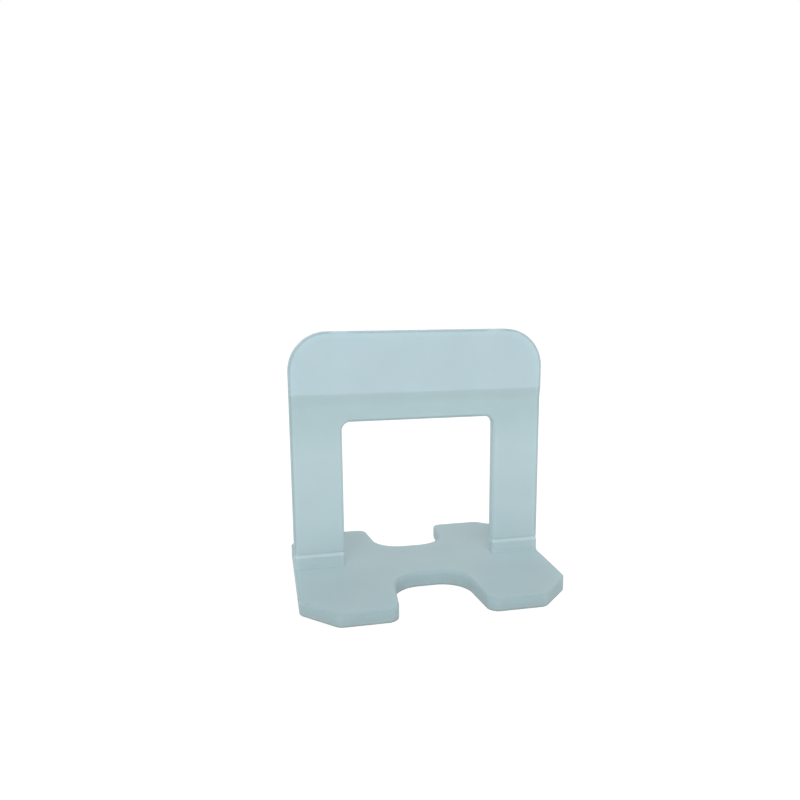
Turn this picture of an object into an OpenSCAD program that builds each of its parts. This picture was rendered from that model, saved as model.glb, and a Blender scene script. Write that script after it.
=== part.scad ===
// Tile levelling clip, moulded in one piece: a notched base, two break-off legs and a header.
// X runs along the plate, Y from front to rear and Z up. The origin is under the middle of the base.

/* [Plate] */
// Width of the plate and of the base
clip_w = 30; // [28:0.5:40]
// Thickness of the legs, which is the joint left between two tiles
leg_t = 1.1; // [0.9:0.1:2]
// Thickness of the header
header_t = 1.6; // [1.2:0.1:3]
// Height of the header, from the step to the top edge
header_h = 7; // [5:0.2:14]
// Height of the sloping step from the header down to the legs
step_h = 1.1; // [0.4:0.1:3]
// Radius of the upper corners of the header
corner_r = 4.5; // [0.5:0.1:4.8]

/* [Window] */
// Clear width between the two legs
window_w = 18.2; // [14:0.2:22]
// Clear height of the window above the middle of the base
window_h = 17.2; // [12:0.1:30]
// Height of the bar between the window and the step
bar_h = 2.25; // [0.5:0.05:6]
// Radius of the upper corners of the window
window_r = 1; // [0.3:0.1:3]

/* [Base] */
// Depth of the base from front to rear
base_d = 25.5; // [22:0.5:36]
// Thickness of the base at its front and rear edges
base_edge_t = 1.45; // [1.2:0.05:3]
// Rise of the top of the base from its edges to the middle
base_crown = 0.4; // [0.1:0.05:0.8]
// Size of the chamfers at the four corners of the base
base_chamfer = 3.8; // [1.4:0.2:6]

/* [Notches] */
// Width of each notch where its floor is rounded
notch_w = 8.9; // [5:0.1:11]
// Depth of each notch from the edge of the base
notch_depth = 8.3; // [4:0.1:9]
// Radius of the corners of the notch's floor
notch_r = 3.4; // [0.5:0.1:4]
// Angle at which the notch's walls open towards the edge, in degrees
notch_flare = 5; // [0:1:12]
// Radius of the rounded corners at the mouth of each notch
mouth_r = 1.3; // [0.3:0.1:2]

/* [Break line] */
// Height of the break line above the middle of the base
break_h = 1.65; // [1.2:0.05:3]
// Height of the ramp from the root up to the break line
ramp_h = 0.38; // [0.2:0.02:0.6]
// Height of the steep lip from the break line up to the full thickness of a leg
lip_h = 0.1; // [0.04:0.02:0.3]
// Depth of the break line in each face of a leg
groove_d = 0.08; // [0.05:0.01:0.3]
// Thickness of the root that stays on the base below the break line
root_t = 1.4; // [1.2:0.1:2.4]
// Radius of the fillet between the root and the base
root_fillet = 0.3; // [0.2:0.05:0.6]

/* [Hidden] */
$fn = 96;
// Facets of the wide arc that crowns the base
crown_fn = 720;
// Length by which a cut runs past the face that it opens
overcut = 1;
half_d = base_d / 2;
base_mid_t = base_edge_t + base_crown;
// Radius of the arc through the two edges and the middle of the base's top
crown_r = (half_d * half_d + base_crown * base_crown) / (2 * base_crown);
// Distance from the middle of the plate to the foot of the root's fillet, and the base's level there
blend_y = root_t / 2 + root_fillet;
blend_z = base_mid_t - crown_r + sqrt(crown_r * crown_r - blend_y * blend_y);
// Level inside the base at which the legs start
seat_z = base_edge_t / 2;
break_z = base_mid_t + break_h;
ramp_low_z = break_z - ramp_h;
lip_high_z = break_z + lip_h;
window_top = base_mid_t + window_h;
step_low_z = window_top + bar_h;
step_high_z = step_low_z + step_h;
clip_h = step_high_z + header_h;
half_w = clip_w / 2;
// Radius of the notch's floor, kept within half of its width
floor_r = min(notch_r, notch_w / 2);
floor_x = notch_w / 2 - floor_r;
// Point where a notch's wall leaves its floor
wall_x = floor_x + floor_r * cos(notch_flare);
wall_y = floor_r - floor_r * sin(notch_flare);
// Centre of the rounded corner at the mouth, and where that corner meets the wall
mouth_y = notch_depth - mouth_r;
mouth_x = wall_x + (mouth_y - wall_y) * tan(notch_flare) + mouth_r / cos(notch_flare);
mouth_wall_x = mouth_x - mouth_r * cos(notch_flare);
mouth_wall_y = mouth_y + mouth_r * sin(notch_flare);

// Rectangle centred on X and standing on the axis, with its two upper corners rounded
module round_top(width, height, radius) {
    translate([-width / 2, 0]) square([width, height - radius]);
    translate([radius - width / 2, 0]) square([width - 2 * radius, height]);
    for (side = [-1, 1])
        translate([side * (width / 2 - radius), height - radius]) circle(radius);
}

// Front view of the plate: the header on its two legs
module plate_outline() {
    difference() {
        round_top(clip_w, clip_h, corner_r);
        translate([0, -overcut]) round_top(window_w, window_top + overcut, window_r);
        translate([-half_w, -overcut]) square([clip_w, seat_z + overcut]);
    }
}

// Fillet between the root and the base, to the right of the root
module root_blend() {
    difference() {
        translate([0, seat_z]) square([blend_y, blend_z + root_fillet - seat_z]);
        translate([blend_y, blend_z + root_fillet]) circle(root_fillet);
    }
}

// Side view of the plate: root, ramp up to the break line, leg, step and header
module plate_profile() {
    half = [
        [root_t / 2, 0],
        [root_t / 2, ramp_low_z],
        [leg_t / 2 - groove_d, break_z],
        [leg_t / 2, lip_high_z],
        [leg_t / 2, step_low_z],
        [header_t / 2, step_high_z],
        [header_t / 2, clip_h],
    ];
    other = [for (i = [len(half) - 1 : -1 : 0]) [-half[i].x, half[i].y]];
    polygon(concat(half, other));
    root_blend();
    mirror([1, 0]) root_blend();
}

// Plan of one notch, from its floor outwards along Y, with the rounded corners of its mouth
module notch() {
    half = [
        [floor_x, 0],
        [wall_x, wall_y],
        [mouth_wall_x, mouth_wall_y],
        [mouth_x, mouth_y],
        [mouth_x, notch_depth + overcut],
    ];
    other = [for (i = [len(half) - 1 : -1 : 0]) [-half[i].x, half[i].y]];
    difference() {
        polygon(concat(half, other));
        for (side = [-1, 1])
            translate([side * mouth_x, mouth_y]) circle(mouth_r);
    }
    for (side = [-1, 1])
        translate([side * floor_x, floor_r]) circle(floor_r);
}

// Plan of the base: chamfered corners, and a notch in the front and the rear edge
module base_outline() {
    right = [[half_w, half_d - base_chamfer], [half_w - base_chamfer, half_d]];
    rear = concat(right, [for (i = [len(right) - 1 : -1 : 0]) [-right[i].x, right[i].y]]);
    difference() {
        polygon(concat(rear, [for (point = rear) -point]));
        for (side = [0, 1])
            mirror([0, side]) translate([0, half_d - notch_depth]) notch();
    }
}

// Side view of the base, with its gently crowned top
module base_profile() {
    intersection() {
        translate([-half_d - overcut, 0]) square([base_d + 2 * overcut, base_mid_t + overcut]);
        translate([0, base_mid_t - crown_r]) circle(crown_r, $fn = crown_fn);
    }
}

// Stands a side view upright and draws it out along X
module along_x(length) {
    rotate([90, 0, 90]) linear_extrude(length, center = true) children();
}

// Stands a front view upright and draws it out along Y
module along_y(length) {
    rotate([90, 0, 0]) linear_extrude(length, center = true) children();
}

module plate() {
    intersection() {
        along_y(base_d) plate_outline();
        along_x(clip_w + 2 * overcut) plate_profile();
    }
}

module base() {
    intersection() {
        linear_extrude(base_mid_t + overcut) base_outline();
        along_x(clip_w + 2 * overcut) base_profile();
    }
}

module levelling_clip() {
    color([0.72, 0.81, 0.83]) {
        base();
        plate();
    }
}

levelling_clip();
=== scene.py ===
from math import cos, pi, radians, sin, tan

import bmesh
import bpy
from bpy.props import FloatProperty, FloatVectorProperty, IntProperty, PointerProperty
from mathutils import Matrix, Vector


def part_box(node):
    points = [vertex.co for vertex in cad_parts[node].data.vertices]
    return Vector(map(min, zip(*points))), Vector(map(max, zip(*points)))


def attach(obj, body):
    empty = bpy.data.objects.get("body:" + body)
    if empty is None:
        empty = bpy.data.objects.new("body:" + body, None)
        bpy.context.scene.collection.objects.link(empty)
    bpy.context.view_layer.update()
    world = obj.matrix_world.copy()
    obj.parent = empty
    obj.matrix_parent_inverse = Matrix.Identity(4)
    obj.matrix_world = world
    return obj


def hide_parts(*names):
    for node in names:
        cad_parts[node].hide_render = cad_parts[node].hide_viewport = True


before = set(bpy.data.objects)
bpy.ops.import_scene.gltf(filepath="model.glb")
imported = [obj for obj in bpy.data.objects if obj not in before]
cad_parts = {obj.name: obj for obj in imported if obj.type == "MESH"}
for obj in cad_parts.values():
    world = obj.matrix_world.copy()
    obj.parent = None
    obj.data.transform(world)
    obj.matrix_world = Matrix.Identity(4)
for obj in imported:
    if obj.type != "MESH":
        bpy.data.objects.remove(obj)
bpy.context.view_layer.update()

bl_info = {
    "name": "Tile levelling clip",
    "version": (1, 0, 0),
    "blender": (4, 5, 0),
    "location": "View3D > Sidebar > Levelling Clip",
    "description": "Dresses the frame of a moulded tile levelling clip and sets its studio",
    "category": "Object",
}

NODE = "levelling_clip"
BODY = "root"
MM = 0.001

LOW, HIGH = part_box(NODE)

# Segments across the fillet at the root, and strips along the crowned top of the base
FILLET_STEPS = 8
CROWN_STRIPS = 24
# Distance within which a cut through a mesh takes a point to lie on it
CUT_TOLERANCE = 1e-7
# Angle between two faces above which their edge is shaded sharp
SHARP_ANGLE = radians(28)

# Gloss of the plastic, and how far red, green and blue scatter in it against each other
PLASTIC_IOR = 1.49
PLASTIC_SPECULAR = 0.1
SCATTER_SPREAD = (0.9, 1.1, 1.2)
# Open share of the view round a point at which the painted edge shade is darkest, and the painted corner
# light strongest
EDGE_SHADE_FULL = 0.6
CORNER_LIGHT_FULL = 0.5
OPENNESS_SAMPLES = 16
# Height over which the painted edge shade of the base gives way to that of the plate
EDGE_SHADE_BLEND = 1 * MM
# Share of the ramp that takes the painted highlight of the break line
CREASE_SHARE = 0.7
# Fineness and detail of the cloudy variation and of the moulded grain, with the grain's depth
CLOUD_SCALE = 160
CLOUD_DETAIL = 4
GRAIN_SCALE = 2600
GRAIN_DETAIL = 3
GRAIN_DEPTH = 0.02 * MM
# How far the grain moves the roughness to either side of its mean
ROUGHNESS_SPREAD = 0.08

# Half of the floor's side in metres, and the gap that keeps it clear of the underside
FLOOR_REACH = 2.0
FLOOR_GAP = 0.05 * MM
# Width of the camera's sensor in millimetres, and the nearest thing that it sees
SENSOR_WIDTH = 36
CLIP_START = 1 * MM


def length(name, millimetres, description):
    """A length that is shown in the sidebar, written here in millimetres."""
    return FloatProperty(
        name=name,
        description=description,
        default=millimetres * MM,
        min=0.0,
        unit="LENGTH",
        precision=5,
    )


def angle(name, degrees, description):
    """An angle that is shown in the sidebar, written here in degrees."""
    return FloatProperty(name=name, description=description, default=radians(degrees), unit="ROTATION")


def colour(name, value, description):
    """A linear colour that is shown in the sidebar."""
    return FloatVectorProperty(
        name=name, description=description, default=value, size=3, min=0.0, max=1.0, subtype="COLOR"
    )


def share(name, value, description, highest=1.0):
    """A plain number from nought to a highest value."""
    return FloatProperty(name=name, description=description, default=value, min=0.0, max=highest)


def count(name, value, description, least):
    """A whole number with a least value."""
    return IntProperty(name=name, description=description, default=value, min=least)


class ClipSizes(bpy.types.PropertyGroup):
    """Sizes of the clip. The width, depth and height come from the frame."""

    width: length("Width", (HIGH.x - LOW.x) / MM, "Width of the plate and of the base")
    depth: length("Depth", (HIGH.y - LOW.y) / MM, "Depth of the base from front to rear")
    height: length("Height", (HIGH.z - LOW.z) / MM, "Height from the underside to the top edge")
    leg_t: length("Leg thickness", 1.1, "Thickness of the two legs")
    header_t: length("Header thickness", 1.6, "Thickness of the header")
    header_h: length("Header height", 7.0, "Height of the header from the step to the top edge")
    step_h: length("Step height", 1.1, "Height of the slope from the header down to the legs")
    bar_h: length("Bar height", 2.25, "Height of the bar between the window and the step")
    corner_r: length("Corner radius", 4.5, "Radius of the upper corners of the header")
    window_w: length("Window width", 18.2, "Clear width between the legs")
    window_r: length("Window radius", 1.0, "Radius of the upper corners of the window")
    base_edge_t: length("Base edge", 1.45, "Thickness of the base at its front and rear edges")
    base_crown: length("Base crown", 0.4, "Rise of the base's top from its edges to the middle")
    base_chamfer: length("Base chamfer", 3.8, "Size of the chamfers at the corners of the base")
    notch_w: length("Notch width", 8.9, "Width of a notch where its floor is rounded")
    notch_depth: length("Notch depth", 8.3, "Depth of a notch from the edge of the base")
    notch_r: length("Notch radius", 3.4, "Radius of the corners of a notch's floor")
    notch_flare: angle("Notch flare", 5.0, "Angle at which a notch's walls open towards the edge")
    mouth_r: length("Mouth radius", 1.3, "Radius of the corners at a notch's mouth")
    break_h: length("Break height", 1.65, "Height of the break line above the middle of the base")
    ramp_h: length("Ramp height", 0.38, "Height of the ramp from the root up to the break line")
    lip_h: length("Lip height", 0.1, "Height of the steep lip from the break line up to the leg")
    groove_d: length("Groove depth", 0.08, "Depth of the break line in each face of a leg")
    lip_r: length("Lip rounding", 0.06, "How far the edges of the break line and of the step are rounded")
    step_cove: length("Step cove", 0.5, "How far the foot of the step is rounded")
    root_t: length("Root thickness", 1.4, "Thickness of the root below the break line")
    root_fillet: length("Root fillet", 0.3, "Radius between the root and the base")
    plate_edge_r: length("Plate edge", 0.15, "Radius that softens the edges of the plate")
    base_edge_r: length("Base top edge", 0.12, "Radius that softens the upper edges of the base")
    base_under_r: length("Base lower edge", 0.1, "Radius that softens the lower edges of the base")
    base_corner_r: length("Base corners", 1.3, "Radius that softens both ends of each chamfer")
    arc_steps: count("Arc steps", 14, "Segments in each rounded corner", 3)
    edge_steps: count("Edge steps", 4, "Segments across a softened edge", 1)


class ClipFinish(bpy.types.PropertyGroup):
    """Colours and finish of the moulded plastic. The colours by height carry painted shade, painted light
    and a painted highlight.
    """

    # Painted shade: the colours below grow darker from the header down to the base. The underside is
    # painted paler than the walls, as light from the floor.
    under: colour("Underside", (0.405, 0.522, 0.546), "Colour of the underside and the lower edges")
    # Painted shade on the base's walls
    wall: colour("Base walls", (0.388, 0.502, 0.526), "Colour of the base's walls")
    top: colour("Base top", (0.416, 0.538, 0.563), "Colour of the base's top")
    # Painted light on the fillet, which hides the shaded crease where the root meets the base
    fillet: colour("Fillet", (0.490, 0.603, 0.628), "Paler colour where the root meets the base")
    # Painted shade on the root
    root: colour("Root", (0.468, 0.576, 0.600), "Colour of the root below the break line")
    # Painted highlight along the break line
    crease_highlight: colour("Break line", (0.530, 0.645, 0.670), "Paler colour along the break line")
    # Painted shade at the foot of the legs
    foot: colour("Foot", (0.480, 0.590, 0.614), "Colour at the foot of the legs")
    leg: colour("Legs", (0.512, 0.632, 0.656), "Colour of the legs")
    # Painted shade on the bar and on the slope of the step
    bar: colour("Bar", (0.474, 0.602, 0.622), "Colour of the bar over the window")
    header: colour("Header", (0.519, 0.646, 0.684), "Colour of the header")
    # Painted shade along the edges of the plate, beside the window and on the base
    plate_edge_shade: share("Plate rim", 0.5, "How much darker the plastic is along the edges of the plate")
    window_edge_shade: share("Window rim", 0.25, "How much darker it is along the inner edges of the legs")
    base_edge_shade: share("Base rim", 0.45, "How much darker the plastic is along the edges of the base")
    plate_reach: length("Plate reach", 0.36, "How far the darker edge reaches into the plate")
    base_reach: length("Base reach", 0.24, "How far the darker edge reaches into the base")
    # Painted light that makes the base paler beside the legs, where they shade it
    painted_corner_light: share("Gather", 0.18, "How much paler the base is beside the legs")
    gather_reach: length("Gather reach", 6.0, "How far the paler part of the base reaches")
    leg_low_z: length("Lower leg level", 8.0, "Level from which the legs have their own colour")
    leg_high_z: length("Upper leg level", 15.0, "Level up to which the legs have their own colour")
    roughness: share("Roughness", 0.46, "Mean roughness of the satin surface")
    mottle: share("Mottle", 0.05, "Strength of the cloudy variation in the colour")
    grain: share("Grain", 0.12, "Strength of the fine moulded grain")
    translucence: share("Translucence", 0.8, "Share of the light that scatters under the surface")
    scatter: length("Scatter depth", 1.2, "How far light scatters under the surface")


class StudioSettings(bpy.types.PropertyGroup):
    """Camera, lamp and floor."""

    camera_place: FloatVectorProperty(
        name="Camera place",
        description="Where the camera stands",
        default=(-17.724 * MM, -77.32 * MM, 32.429 * MM),
        size=3,
        subtype="TRANSLATION",
    )
    camera_yaw: angle("Camera yaw", 12.021, "Turn of the view towards +X")
    camera_pitch: angle("Camera pitch", 9.749, "Downward tilt of the view")
    camera_roll: angle("Camera roll", -0.426, "Roll of the view")
    camera_lens: share("Camera lens", 30.672, "Focal length in millimetres", 300.0)
    shift_x: FloatProperty(name="Shift X", description="Sideways shift of the frame", default=-0.0096)
    shift_y: FloatProperty(name="Shift Y", description="Upward shift of the frame", default=0.0256)
    key_power: share("Key power", 0.7, "Power of the soft box beside the camera, in watts", 20.0)
    key_turn: angle("Key turn", -14.0, "Turn of the soft box from the front towards +X")
    key_rise: angle("Key rise", 28.0, "Height of the soft box above the level of the clip")
    key_distance: length("Key distance", 450.0, "Distance of the soft box from the clip")
    key_size: length("Key size", 300.0, "Side of the square soft box")
    ambient: share("Ambient", 0.75, "Strength of the light from all round", 5.0)
    floor_bounce: share("Floor bounce", 0.8, "Brightness of the floor as the clip is lit by it")
    floor_glow: share("Floor glow", 0.88, "Strength of the floor's own white as the camera sees it")
    floor_shade: share("Floor shade", 0.25, "Brightness of the lit part of the floor that shows a shadow")


def quarter_turns(steps):
    """Angles from nought to a right angle, in equal steps."""
    return [pi / 2 * i / steps for i in range(steps + 1)]


def arc(centre_x, centre_y, radius, start, end, steps):
    """Points along an arc, from one angle to another in degrees."""
    points = []
    for i in range(steps + 1):
        turn = radians(start + (end - start) * i / steps)
        points.append((centre_x + radius * cos(turn), centre_y + radius * sin(turn)))
    return points


def base_outline(sizes, inset):
    """Plan of the base, moved inwards by an inset, clockwise from the floor of the rear notch."""
    steps = sizes.arc_steps
    half_w = sizes.width / 2
    half_d = sizes.depth / 2
    flare = sizes.notch_flare
    flare_deg = flare * 180 / pi
    floor_x = sizes.notch_w / 2 - sizes.notch_r
    floor_y = half_d - sizes.notch_depth + sizes.notch_r
    wall_x = floor_x + sizes.notch_r * cos(flare)
    wall_y = floor_y - sizes.notch_r * sin(flare)
    mouth_y = half_d - sizes.mouth_r
    mouth_x = wall_x + (mouth_y - wall_y) * tan(flare) + sizes.mouth_r / cos(flare)
    bend = sizes.base_corner_r
    run = bend * tan(pi / 8)
    side = (half_w - bend, half_d - sizes.base_chamfer - run)
    rear = (half_w - sizes.base_chamfer - run, half_d - bend)
    quarter = arc(floor_x, floor_y, sizes.notch_r + inset, -90, -flare_deg, steps)
    quarter += arc(mouth_x, mouth_y, sizes.mouth_r - inset, 180 - flare_deg, 90, steps // 2)
    quarter += arc(*rear, bend - inset, 90, 45, steps // 2)
    quarter += arc(*side, bend - inset, 45, 0, steps // 2)
    # the quarter runs from the rear notch to the right side, and its mirror images close the plan
    right = quarter + [(x, -y) for x, y in reversed(quarter)]
    return right + [(-x, y) for x, y in reversed(right)]


def plate_outline(sizes, inset, foot):
    """Front view of the plate, moved inwards by an inset, from its left foot round the top and back."""
    steps = sizes.arc_steps
    half_w = sizes.width / 2
    corner_x = half_w - sizes.corner_r
    corner_z = sizes.height - sizes.corner_r
    corner = sizes.corner_r - inset
    leg_x = sizes.window_w / 2
    window_x = leg_x - sizes.window_r
    window_z = window_top(sizes) - sizes.window_r
    window = sizes.window_r + inset
    points = [(-half_w + inset, foot)]
    points += arc(-corner_x, corner_z, corner, 180, 90, steps)
    points += arc(corner_x, corner_z, corner, 90, 0, steps)
    points += [(half_w - inset, foot), (leg_x + inset, foot)]
    points += arc(window_x, window_z, window, 0, 90, steps // 2)
    points += arc(-window_x, window_z, window, 90, 180, steps // 2)
    points += [(-leg_x - inset, foot)]
    return points


def base_middle(sizes):
    """Thickness of the base under the plate."""
    return sizes.base_edge_t + sizes.base_crown


def break_level(sizes):
    """Level of the break line."""
    return base_middle(sizes) + sizes.break_h


def window_top(sizes):
    """Level of the window's upper edge."""
    return sizes.height - sizes.header_h - sizes.step_h - sizes.bar_h


def ease(points, reaches, steps):
    """Rounds the inner corners of a line. Each reach is how far its corner is rounded along both sides."""
    eased = [points[0]]
    for before, point, after, reach in zip(points, points[1:], points[2:], reaches):
        corner = Vector(point)
        start = corner + (Vector(before) - corner).normalized() * reach
        end = corner + (Vector(after) - corner).normalized() * reach
        for i in range(steps + 1):
            t = i / steps
            eased.append(tuple(start * (1 - t) ** 2 + corner * (2 * t * (1 - t)) + end * t ** 2))
    eased.append(points[-1])
    return eased


def plate_levels(sizes):
    """Half the plate's thickness at each level where its side view bends, from the base upwards."""
    foot = base_middle(sizes)
    fillet = sizes.root_fillet
    root = sizes.root_t / 2
    leg = sizes.leg_t / 2
    head = sizes.header_t / 2
    lip = sizes.lip_r
    break_z = break_level(sizes)
    step_high = sizes.height - sizes.header_h
    turns = quarter_turns(FILLET_STEPS)[:-1]
    levels = [(root + fillet * (1 - sin(turn)), foot + fillet * (1 - cos(turn))) for turn in turns]
    corners = [
        (root, foot + fillet),
        (root, break_z - sizes.ramp_h),
        (leg - sizes.groove_d, break_z),
        (leg, break_z + sizes.lip_h),
        (leg, step_high - sizes.step_h),
        (head, step_high),
        (head, sizes.height),
    ]
    return levels + ease(corners, [lip, lip / 2, lip / 2, sizes.step_cove, lip], sizes.edge_steps)


def half_thickness(levels, z):
    """Half the plate's thickness at a level, read from its side view."""
    if z <= levels[0][1]:
        return levels[0][0]
    for (y_low, z_low), (y_high, z_high) in zip(levels, levels[1:]):
        if z <= z_high:
            return y_low + (y_high - y_low) * (z - z_low) / (z_high - z_low)
    return levels[-1][0]


def skin(bm, rings):
    """Joins rings of equal length by quads and closes the first and the last one."""
    loops = [[bm.verts.new(point) for point in ring] for ring in rings]
    for low, high in zip(loops, loops[1:]):
        for i in range(len(low)):
            j = (i + 1) % len(low)
            bm.faces.new((low[i], low[j], high[j], high[i]))
    bm.faces.new(list(reversed(loops[0])))
    bm.faces.new(loops[-1])


def slice_mesh(bm, axis, places):
    """Cuts every face that crosses the given places along an axis."""
    for place in places:
        geometry = bm.verts[:] + bm.edges[:] + bm.faces[:]
        bmesh.ops.bisect_plane(bm, geom=geometry, plane_co=axis * place, plane_no=axis, dist=CUT_TOLERANCE)


def to_object(bm, name):
    """Turns a bmesh into an object in the scene."""
    bmesh.ops.recalc_face_normals(bm, faces=bm.faces[:])
    mesh = bpy.data.meshes.new(name)
    bm.to_mesh(mesh)
    bm.free()
    piece = bpy.data.objects.new(name, mesh)
    bpy.context.scene.collection.objects.link(piece)
    return piece


def make_base(sizes):
    """The base: its plan carried up with softened edges, and a gently crowned top."""
    edge_t = sizes.base_edge_t
    top_r = sizes.base_edge_r
    low_r = sizes.base_under_r
    turns = quarter_turns(sizes.edge_steps)
    levels = [(low_r * (1 - cos(turn)), low_r * (1 - sin(turn))) for turn in turns]
    levels += [(edge_t - top_r * (1 - sin(turn)), top_r * (1 - cos(turn))) for turn in turns]
    bm = bmesh.new()
    skin(bm, [[(x, y, z) for x, y in base_outline(sizes, inset)] for z, inset in levels])
    half_d = sizes.depth / 2
    strips = [half_d * (2 * i / CROWN_STRIPS - 1) for i in range(1, CROWN_STRIPS)]
    slice_mesh(bm, Vector((0, 1, 0)), strips)
    for vert in bm.verts:
        rise = sizes.base_crown * (1 - (vert.co.y / half_d) ** 2)
        vert.co.z *= (edge_t + rise) / edge_t
    return to_object(bm, "clip_base")


def make_plate(sizes):
    """The plate: its front view carried back with softened edges, and thickened as its side view says."""
    edge_r = sizes.plate_edge_r
    foot = sizes.base_edge_t / 2
    # the two faces start apart by more than any thickness, and are then drawn in to their side view
    apart = sizes.header_t
    turns = quarter_turns(sizes.edge_steps)
    depths = [(-apart - edge_r * cos(turn), edge_r * (1 - sin(turn))) for turn in turns]
    depths += [(-y, inset) for y, inset in reversed(depths)]
    bm = bmesh.new()
    skin(bm, [[(x, y, z) for x, z in plate_outline(sizes, inset, foot)] for y, inset in depths])
    levels = plate_levels(sizes)
    slice_mesh(bm, Vector((0, 0, 1)), [z for _, z in levels])
    for vert in bm.verts:
        side = -1 if vert.co.y < 0 else 1
        vert.co.y += side * (half_thickness(levels, vert.co.z) - apart - edge_r)
    return to_object(bm, "clip_plate")


def fuse(first, second, name):
    """One closed mesh from two that overlap. The two are removed."""
    union = first.modifiers.new("Union", "BOOLEAN")
    union.operation = "UNION"
    union.solver = "EXACT"
    union.object = second
    graph = bpy.context.evaluated_depsgraph_get()
    mesh = bpy.data.meshes.new_from_object(first.evaluated_get(graph))
    mesh.name = name
    piece = bpy.data.objects.new(name, mesh)
    bpy.context.scene.collection.objects.link(piece)
    for part in (first, second):
        bpy.data.objects.remove(part)
    return piece


def smooth(piece):
    """Shades a piece smoothly, apart from its true creases, with its flat faces kept flat."""
    mesh = piece.data
    for polygon in mesh.polygons:
        polygon.use_smooth = True
    mesh.set_sharp_from_angle(angle=SHARP_ANGLE)
    weighted = piece.modifiers.new("Weighted normals", "WEIGHTED_NORMAL")
    weighted.keep_sharp = True
    weighted.weight = 100


def add_node(tree, kind, at, **values):
    """A shader node with its plain settings."""
    made = tree.nodes.new(kind)
    made.location = at
    for key, value in values.items():
        setattr(made, key, value)
    return made


def feed(tree, socket, value):
    """Sets an input to a number, or links it to an output."""
    if isinstance(value, bpy.types.NodeSocket):
        tree.links.new(value, socket)
    else:
        socket.default_value = value


def calculate(tree, at, operation, *values):
    """The result of a sum over numbers and outputs."""
    made = add_node(tree, "ShaderNodeMath", at, operation=operation)
    for socket, value in zip(made.inputs, values):
        feed(tree, socket, value)
    return made.outputs["Value"]


def map_range(tree, at, value, source=(0.0, 1.0), target=(0.0, 1.0)):
    """Carries a value from a source range to a target range. The ends are numbers or outputs."""
    made = add_node(tree, "ShaderNodeMapRange", at)
    names = ("Value", "From Min", "From Max", "To Min", "To Max")
    for name, given in zip(names, (value, *source, *target)):
        feed(tree, made.inputs[name], given)
    return made.outputs["Result"]


def noise(tree, at, point, scale, detail):
    """Noise over the points of the clip."""
    made = add_node(tree, "ShaderNodeTexNoise", at)
    made.inputs["Scale"].default_value = scale
    made.inputs["Detail"].default_value = detail
    tree.links.new(point, made.inputs["Vector"])
    return made.outputs["Fac"]


def shaded_height_colours(tree, height, finish, sizes):
    """Colour of the plastic by height, from the underside to the header, with painted shade that makes it
    darker towards the base, on the walls, the root, the foot and the bar, painted light on the underside
    and the fillet, and a painted highlight along the break line.
    """
    middle = base_middle(sizes)
    break_z = break_level(sizes)
    lip_high = break_z + sizes.lip_h
    step_high = sizes.height - sizes.header_h
    stops = [
        (0, finish.under),
        (sizes.base_edge_t / 2, finish.wall),
        (sizes.base_edge_t - sizes.base_edge_r, finish.wall),
        (sizes.base_edge_t, finish.top),
        (middle, finish.top),
        # Painted light on the fillet
        (middle + sizes.root_fillet / 2, finish.fillet),
        (middle + sizes.root_fillet, finish.fillet),
        (break_z - sizes.ramp_h, finish.root),
        # Painted highlight along the break line
        (break_z - sizes.ramp_h * CREASE_SHARE, finish.crease_highlight),
        (break_z, finish.crease_highlight),
        (lip_high, finish.crease_highlight),
        (lip_high + sizes.lip_r, finish.foot),
        (finish.leg_low_z, finish.leg),
        (finish.leg_high_z, finish.leg),
        # Painted shade on the bar and the lower part of the step
        (window_top(sizes), finish.bar),
        (step_high - sizes.step_h / 4, finish.bar),
        (step_high, finish.header),
    ]
    ramp = add_node(tree, "ShaderNodeValToRGB", (-780, 260))
    elements = ramp.color_ramp.elements
    for z, _ in stops[1:-1]:
        elements.new(z / sizes.height)
    for element, (z, value) in zip(elements, stops):
        element.position = z / sizes.height
        element.color = (*value, 1)
    tree.links.new(map_range(tree, (-1000, 260), height, (0.0, sizes.height)), ramp.inputs["Fac"])
    return ramp.outputs["Color"]


def painted_edge_shade(tree, apart, finish, sizes):
    """Painted shade along the edges: narrow on the base, wider and softer on the plate, and weaker beside
    the window.
    """
    height = apart.outputs["Z"]
    lip_high = break_level(sizes) + sizes.lip_h
    change = (lip_high, lip_high + EDGE_SHADE_BLEND)
    across = calculate(tree, (-1880, 800), "ABSOLUTE", apart.outputs["X"])
    past_window = calculate(tree, (-1660, 800), "SUBTRACT", across, sizes.window_w / 2)
    off_edge = calculate(tree, (-1440, 800), "ABSOLUTE", past_window)
    beside = (finish.plate_reach, finish.plate_reach + sizes.window_r)
    plate_tones = (1 - finish.window_edge_shade, 1 - finish.plate_edge_shade)
    plate_least = map_range(tree, (-1220, 800), off_edge, beside, plate_tones)
    least = map_range(tree, (-1000, 800), height, change, (1 - finish.base_edge_shade, plate_least))
    reach = map_range(tree, (-1220, 520), height, change, (finish.base_reach, finish.plate_reach))
    edge = add_node(
        tree, "ShaderNodeAmbientOcclusion", (-1000, 520), inside=True, samples=OPENNESS_SAMPLES
    )
    tree.links.new(reach, edge.inputs["Distance"])
    return map_range(tree, (-780, 520), edge.outputs["AO"], (EDGE_SHADE_FULL, 1.0), (least, 1.0))


def corner_light_tone(tree, apart, finish, sizes):
    """Painted light that makes the base paler beside the legs, the more so where the view round it is
    closed in.
    """
    middle = base_middle(sizes)
    change = (middle, middle + sizes.root_fillet)
    most = map_range(tree, (-1000, 1320), apart.outputs["Z"], change, (1 + finish.painted_corner_light, 1.0))
    corner = add_node(
        tree, "ShaderNodeAmbientOcclusion", (-1000, 1060), only_local=True, samples=OPENNESS_SAMPLES
    )
    corner.inputs["Distance"].default_value = finish.gather_reach
    return map_range(tree, (-780, 1060), corner.outputs["AO"], (CORNER_LIGHT_FULL, 1.0), (most, 1.0))


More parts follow.
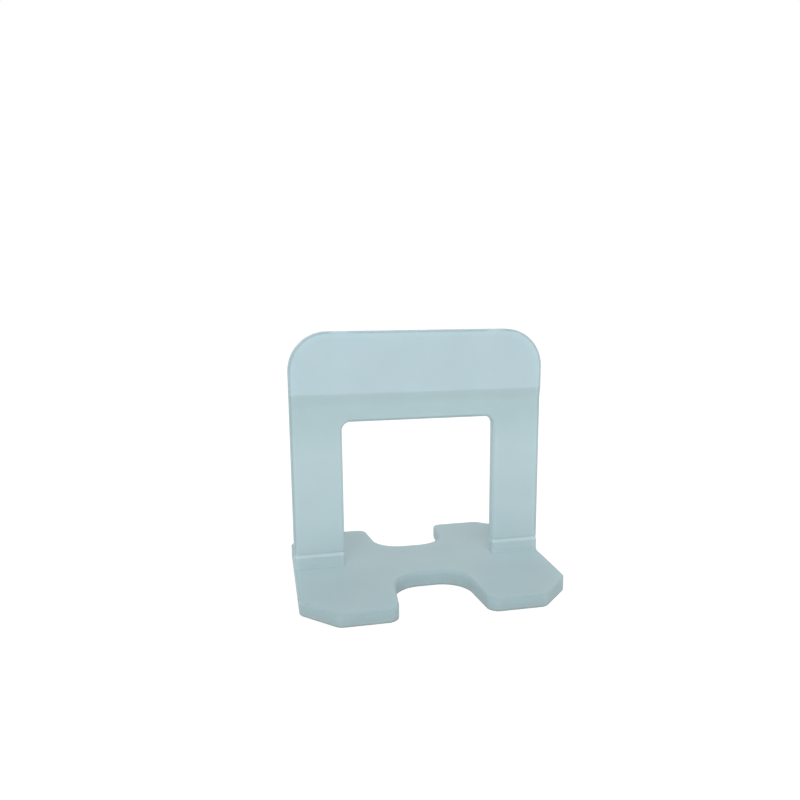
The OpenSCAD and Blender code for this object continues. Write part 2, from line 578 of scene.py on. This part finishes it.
def cloud_tone(tree, point, finish):
    """A faint cloudy variation."""
    cloud = noise(tree, (-1000, -80), point, CLOUD_SCALE, CLOUD_DETAIL)
    return map_range(tree, (-780, -80), cloud, target=(1 - finish.mottle, 1 + finish.mottle))


def plastic_material(finish, sizes):
    """Pale blue satin plastic, slightly translucent, with painted shade along the edges and towards the
    base, painted light beside the legs, a painted highlight along the break line, and a fine grain.
    """
    material = bpy.data.materials.new("satin_clip_plastic")
    material.use_nodes = True
    tree = material.node_tree
    link = tree.links.new
    shader = tree.nodes["Principled BSDF"]
    shader.inputs["IOR"].default_value = PLASTIC_IOR
    shader.inputs["Specular IOR Level"].default_value = PLASTIC_SPECULAR
    shader.inputs["Subsurface Weight"].default_value = finish.translucence
    shader.inputs["Subsurface Radius"].default_value = SCATTER_SPREAD
    shader.inputs["Subsurface Scale"].default_value = finish.scatter

    point = add_node(tree, "ShaderNodeTexCoord", (-2320, 0)).outputs["Object"]
    apart = add_node(tree, "ShaderNodeSeparateXYZ", (-2100, 260))
    link(point, apart.inputs["Vector"])
    body = shaded_height_colours(tree, apart.outputs["Z"], finish, sizes)
    edge = painted_edge_shade(tree, apart, finish, sizes)
    painted_corner_light = corner_light_tone(tree, apart, finish, sizes)
    tone = calculate(tree, (-540, 520), "MULTIPLY", cloud_tone(tree, point, finish), edge)
    tone = calculate(tree, (-540, 760), "MULTIPLY", tone, painted_corner_light)
    tint = add_node(tree, "ShaderNodeVectorMath", (-320, 260), operation="SCALE")
    link(body, tint.inputs[0])
    link(tone, tint.inputs["Scale"])
    link(tint.outputs["Vector"], shader.inputs["Base Color"])

    grain = noise(tree, (-1000, -360), point, GRAIN_SCALE, GRAIN_DETAIL)
    spread = (finish.roughness - ROUGHNESS_SPREAD, finish.roughness + ROUGHNESS_SPREAD)
    link(map_range(tree, (-540, -220), grain, target=spread), shader.inputs["Roughness"])
    bump = add_node(tree, "ShaderNodeBump", (-540, -500))
    bump.inputs["Strength"].default_value = finish.grain
    bump.inputs["Distance"].default_value = GRAIN_DEPTH
    link(grain, bump.inputs["Height"])
    link(bump.outputs["Normal"], shader.inputs["Normal"])
    return material


class CLIP_OT_build_body(bpy.types.Operator):
    """Build the moulded clip over its frame"""

    bl_idname = "clip.build_body"
    bl_label = "Build clip"

    def execute(self, context):
        sizes = context.scene.clip_sizes
        clip = fuse(make_base(sizes), make_plate(sizes), "clip_moulding")
        smooth(clip)
        clip.data.materials.clear()
        clip.data.materials.append(plastic_material(context.scene.clip_finish, sizes))
        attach(clip, BODY)
        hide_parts(NODE)
        return {"FINISHED"}


def seen_directly(tree):
    """One where a ray comes from the camera, a reflection or a clear material, and nought elsewhere."""
    rays = add_node(tree, "ShaderNodeLightPath", (-800, 480)).outputs
    mirrored = calculate(tree, (-600, 480), "MAXIMUM", rays["Is Camera Ray"], rays["Is Glossy Ray"])
    return calculate(tree, (-400, 480), "MAXIMUM", mirrored, rays["Is Transmission Ray"])


def grey(value):
    """A grey, from black at nought to white at one."""
    return (value, value, value, 1)


def floor_material(studio):
    """Pale floor: white to the camera with a soft shadow, and a plain grey as it lights the clip."""
    material = bpy.data.materials.new("pale_studio_floor")
    material.use_nodes = True
    tree = material.node_tree
    tree.nodes.clear()
    link = tree.links.new
    out = add_node(tree, "ShaderNodeOutputMaterial", (600, 0))
    matt = add_node(tree, "ShaderNodeBsdfDiffuse", (0, -160))
    matt.inputs["Color"].default_value = grey(studio.floor_bounce)
    card = add_node(tree, "ShaderNodeBsdfDiffuse", (0, 160))
    card.inputs["Color"].default_value = grey(studio.floor_shade)
    glow = add_node(tree, "ShaderNodeEmission", (0, 320))
    glow.inputs["Color"].default_value = grey(1)
    glow.inputs["Strength"].default_value = studio.floor_glow
    white = add_node(tree, "ShaderNodeAddShader", (200, 240))
    link(glow.outputs["Emission"], white.inputs[0])
    link(card.outputs["BSDF"], white.inputs[1])
    mix = add_node(tree, "ShaderNodeMixShader", (400, 0))
    link(seen_directly(tree), mix.inputs["Fac"])
    link(matt.outputs["BSDF"], mix.inputs[1])
    link(white.outputs["Shader"], mix.inputs[2])
    link(mix.outputs["Shader"], out.inputs["Surface"])
    return material


def studio_world(studio):
    """White all round to the camera, and an even weaker light on the clip."""
    world = bpy.data.worlds.new("white_studio")
    world.use_nodes = True
    tree = world.node_tree
    light = tree.nodes["Background"]
    light.inputs["Color"].default_value = grey(1)
    strength = map_range(tree, (-200, 0), seen_directly(tree), target=(studio.ambient, 1.0))
    tree.links.new(strength, light.inputs["Strength"])
    bpy.context.scene.world = world


def key_light(studio):
    """A square soft box beside the camera that faces the clip."""
    lamp = bpy.data.lights.new("key_soft_box", "AREA")
    lamp.shape = "SQUARE"
    lamp.size = studio.key_size
    lamp.energy = studio.key_power
    box = bpy.data.objects.new("key_soft_box", lamp)
    turn = studio.key_turn
    rise = studio.key_rise
    away = Vector((sin(turn) * cos(rise), -cos(turn) * cos(rise), sin(rise)))
    box.location = Vector((0, 0, HIGH.z / 2)) + away * studio.key_distance
    box.rotation_euler = away.to_track_quat("Z", "Y").to_euler()
    bpy.context.scene.collection.objects.link(box)


def set_camera(studio):
    """The camera at the photograph's viewing angle."""
    lens = bpy.data.cameras.new("photo_camera")
    lens.lens = studio.camera_lens
    lens.sensor_width = SENSOR_WIDTH
    lens.shift_x = studio.shift_x
    lens.shift_y = studio.shift_y
    lens.clip_start = CLIP_START
    camera = bpy.data.objects.new("photo_camera", lens)
    turn = Matrix.Rotation(-studio.camera_yaw, 4, "Z")
    tilt = Matrix.Rotation(pi / 2 - studio.camera_pitch, 4, "X")
    roll = Matrix.Rotation(studio.camera_roll, 4, "Z")
    camera.matrix_world = Matrix.Translation(studio.camera_place) @ turn @ tilt @ roll
    bpy.context.scene.collection.objects.link(camera)
    bpy.context.scene.camera = camera


class CLIP_OT_build_stage(bpy.types.Operator):
    """Lay the floor, set the lamp and place the camera"""

    bl_idname = "clip.build_stage"
    bl_label = "Build studio"

    def execute(self, context):
        scene = context.scene
        studio = scene.clip_studio
        scene.view_settings.view_transform = "Standard"
        bm = bmesh.new()
        bmesh.ops.create_grid(bm, x_segments=1, y_segments=1, size=FLOOR_REACH)
        floor = to_object(bm, "studio_floor")
        floor.location.z = -FLOOR_GAP
        floor.data.materials.append(floor_material(studio))
        studio_world(studio)
        key_light(studio)
        set_camera(studio)
        return {"FINISHED"}


class CLIP_PT_sidebar(bpy.types.Panel):
    """Lists the steps and the sizes"""

    bl_idname = "CLIP_PT_sidebar"
    bl_label = "Levelling Clip"
    bl_space_type = "VIEW_3D"
    bl_region_type = "UI"
    bl_category = "Levelling Clip"

    def draw(self, context):
        layout = self.layout
        layout.operator(CLIP_OT_build_body.bl_idname)
        layout.operator(CLIP_OT_build_stage.bl_idname)
        for group in (context.scene.clip_sizes, context.scene.clip_finish, context.scene.clip_studio):
            box = layout.box()
            for key in group.bl_rna.properties.keys():
                if key not in ("rna_type", "name"):
                    box.prop(group, key)


CLASSES = (
    ClipSizes,
    ClipFinish,
    StudioSettings,
    CLIP_OT_build_body,
    CLIP_OT_build_stage,
    CLIP_PT_sidebar,
)


def register():
    for cls in CLASSES:
        bpy.utils.register_class(cls)
    bpy.types.Scene.clip_sizes = PointerProperty(type=ClipSizes)
    bpy.types.Scene.clip_finish = PointerProperty(type=ClipFinish)
    bpy.types.Scene.clip_studio = PointerProperty(type=StudioSettings)


def unregister():
    del bpy.types.Scene.clip_studio
    del bpy.types.Scene.clip_finish
    del bpy.types.Scene.clip_sizes
    for cls in reversed(CLASSES):
        bpy.utils.unregister_class(cls)


def main():
    register()
    bpy.ops.clip.build_body()
    bpy.ops.clip.build_stage()


if __name__ == "__main__":
    main()
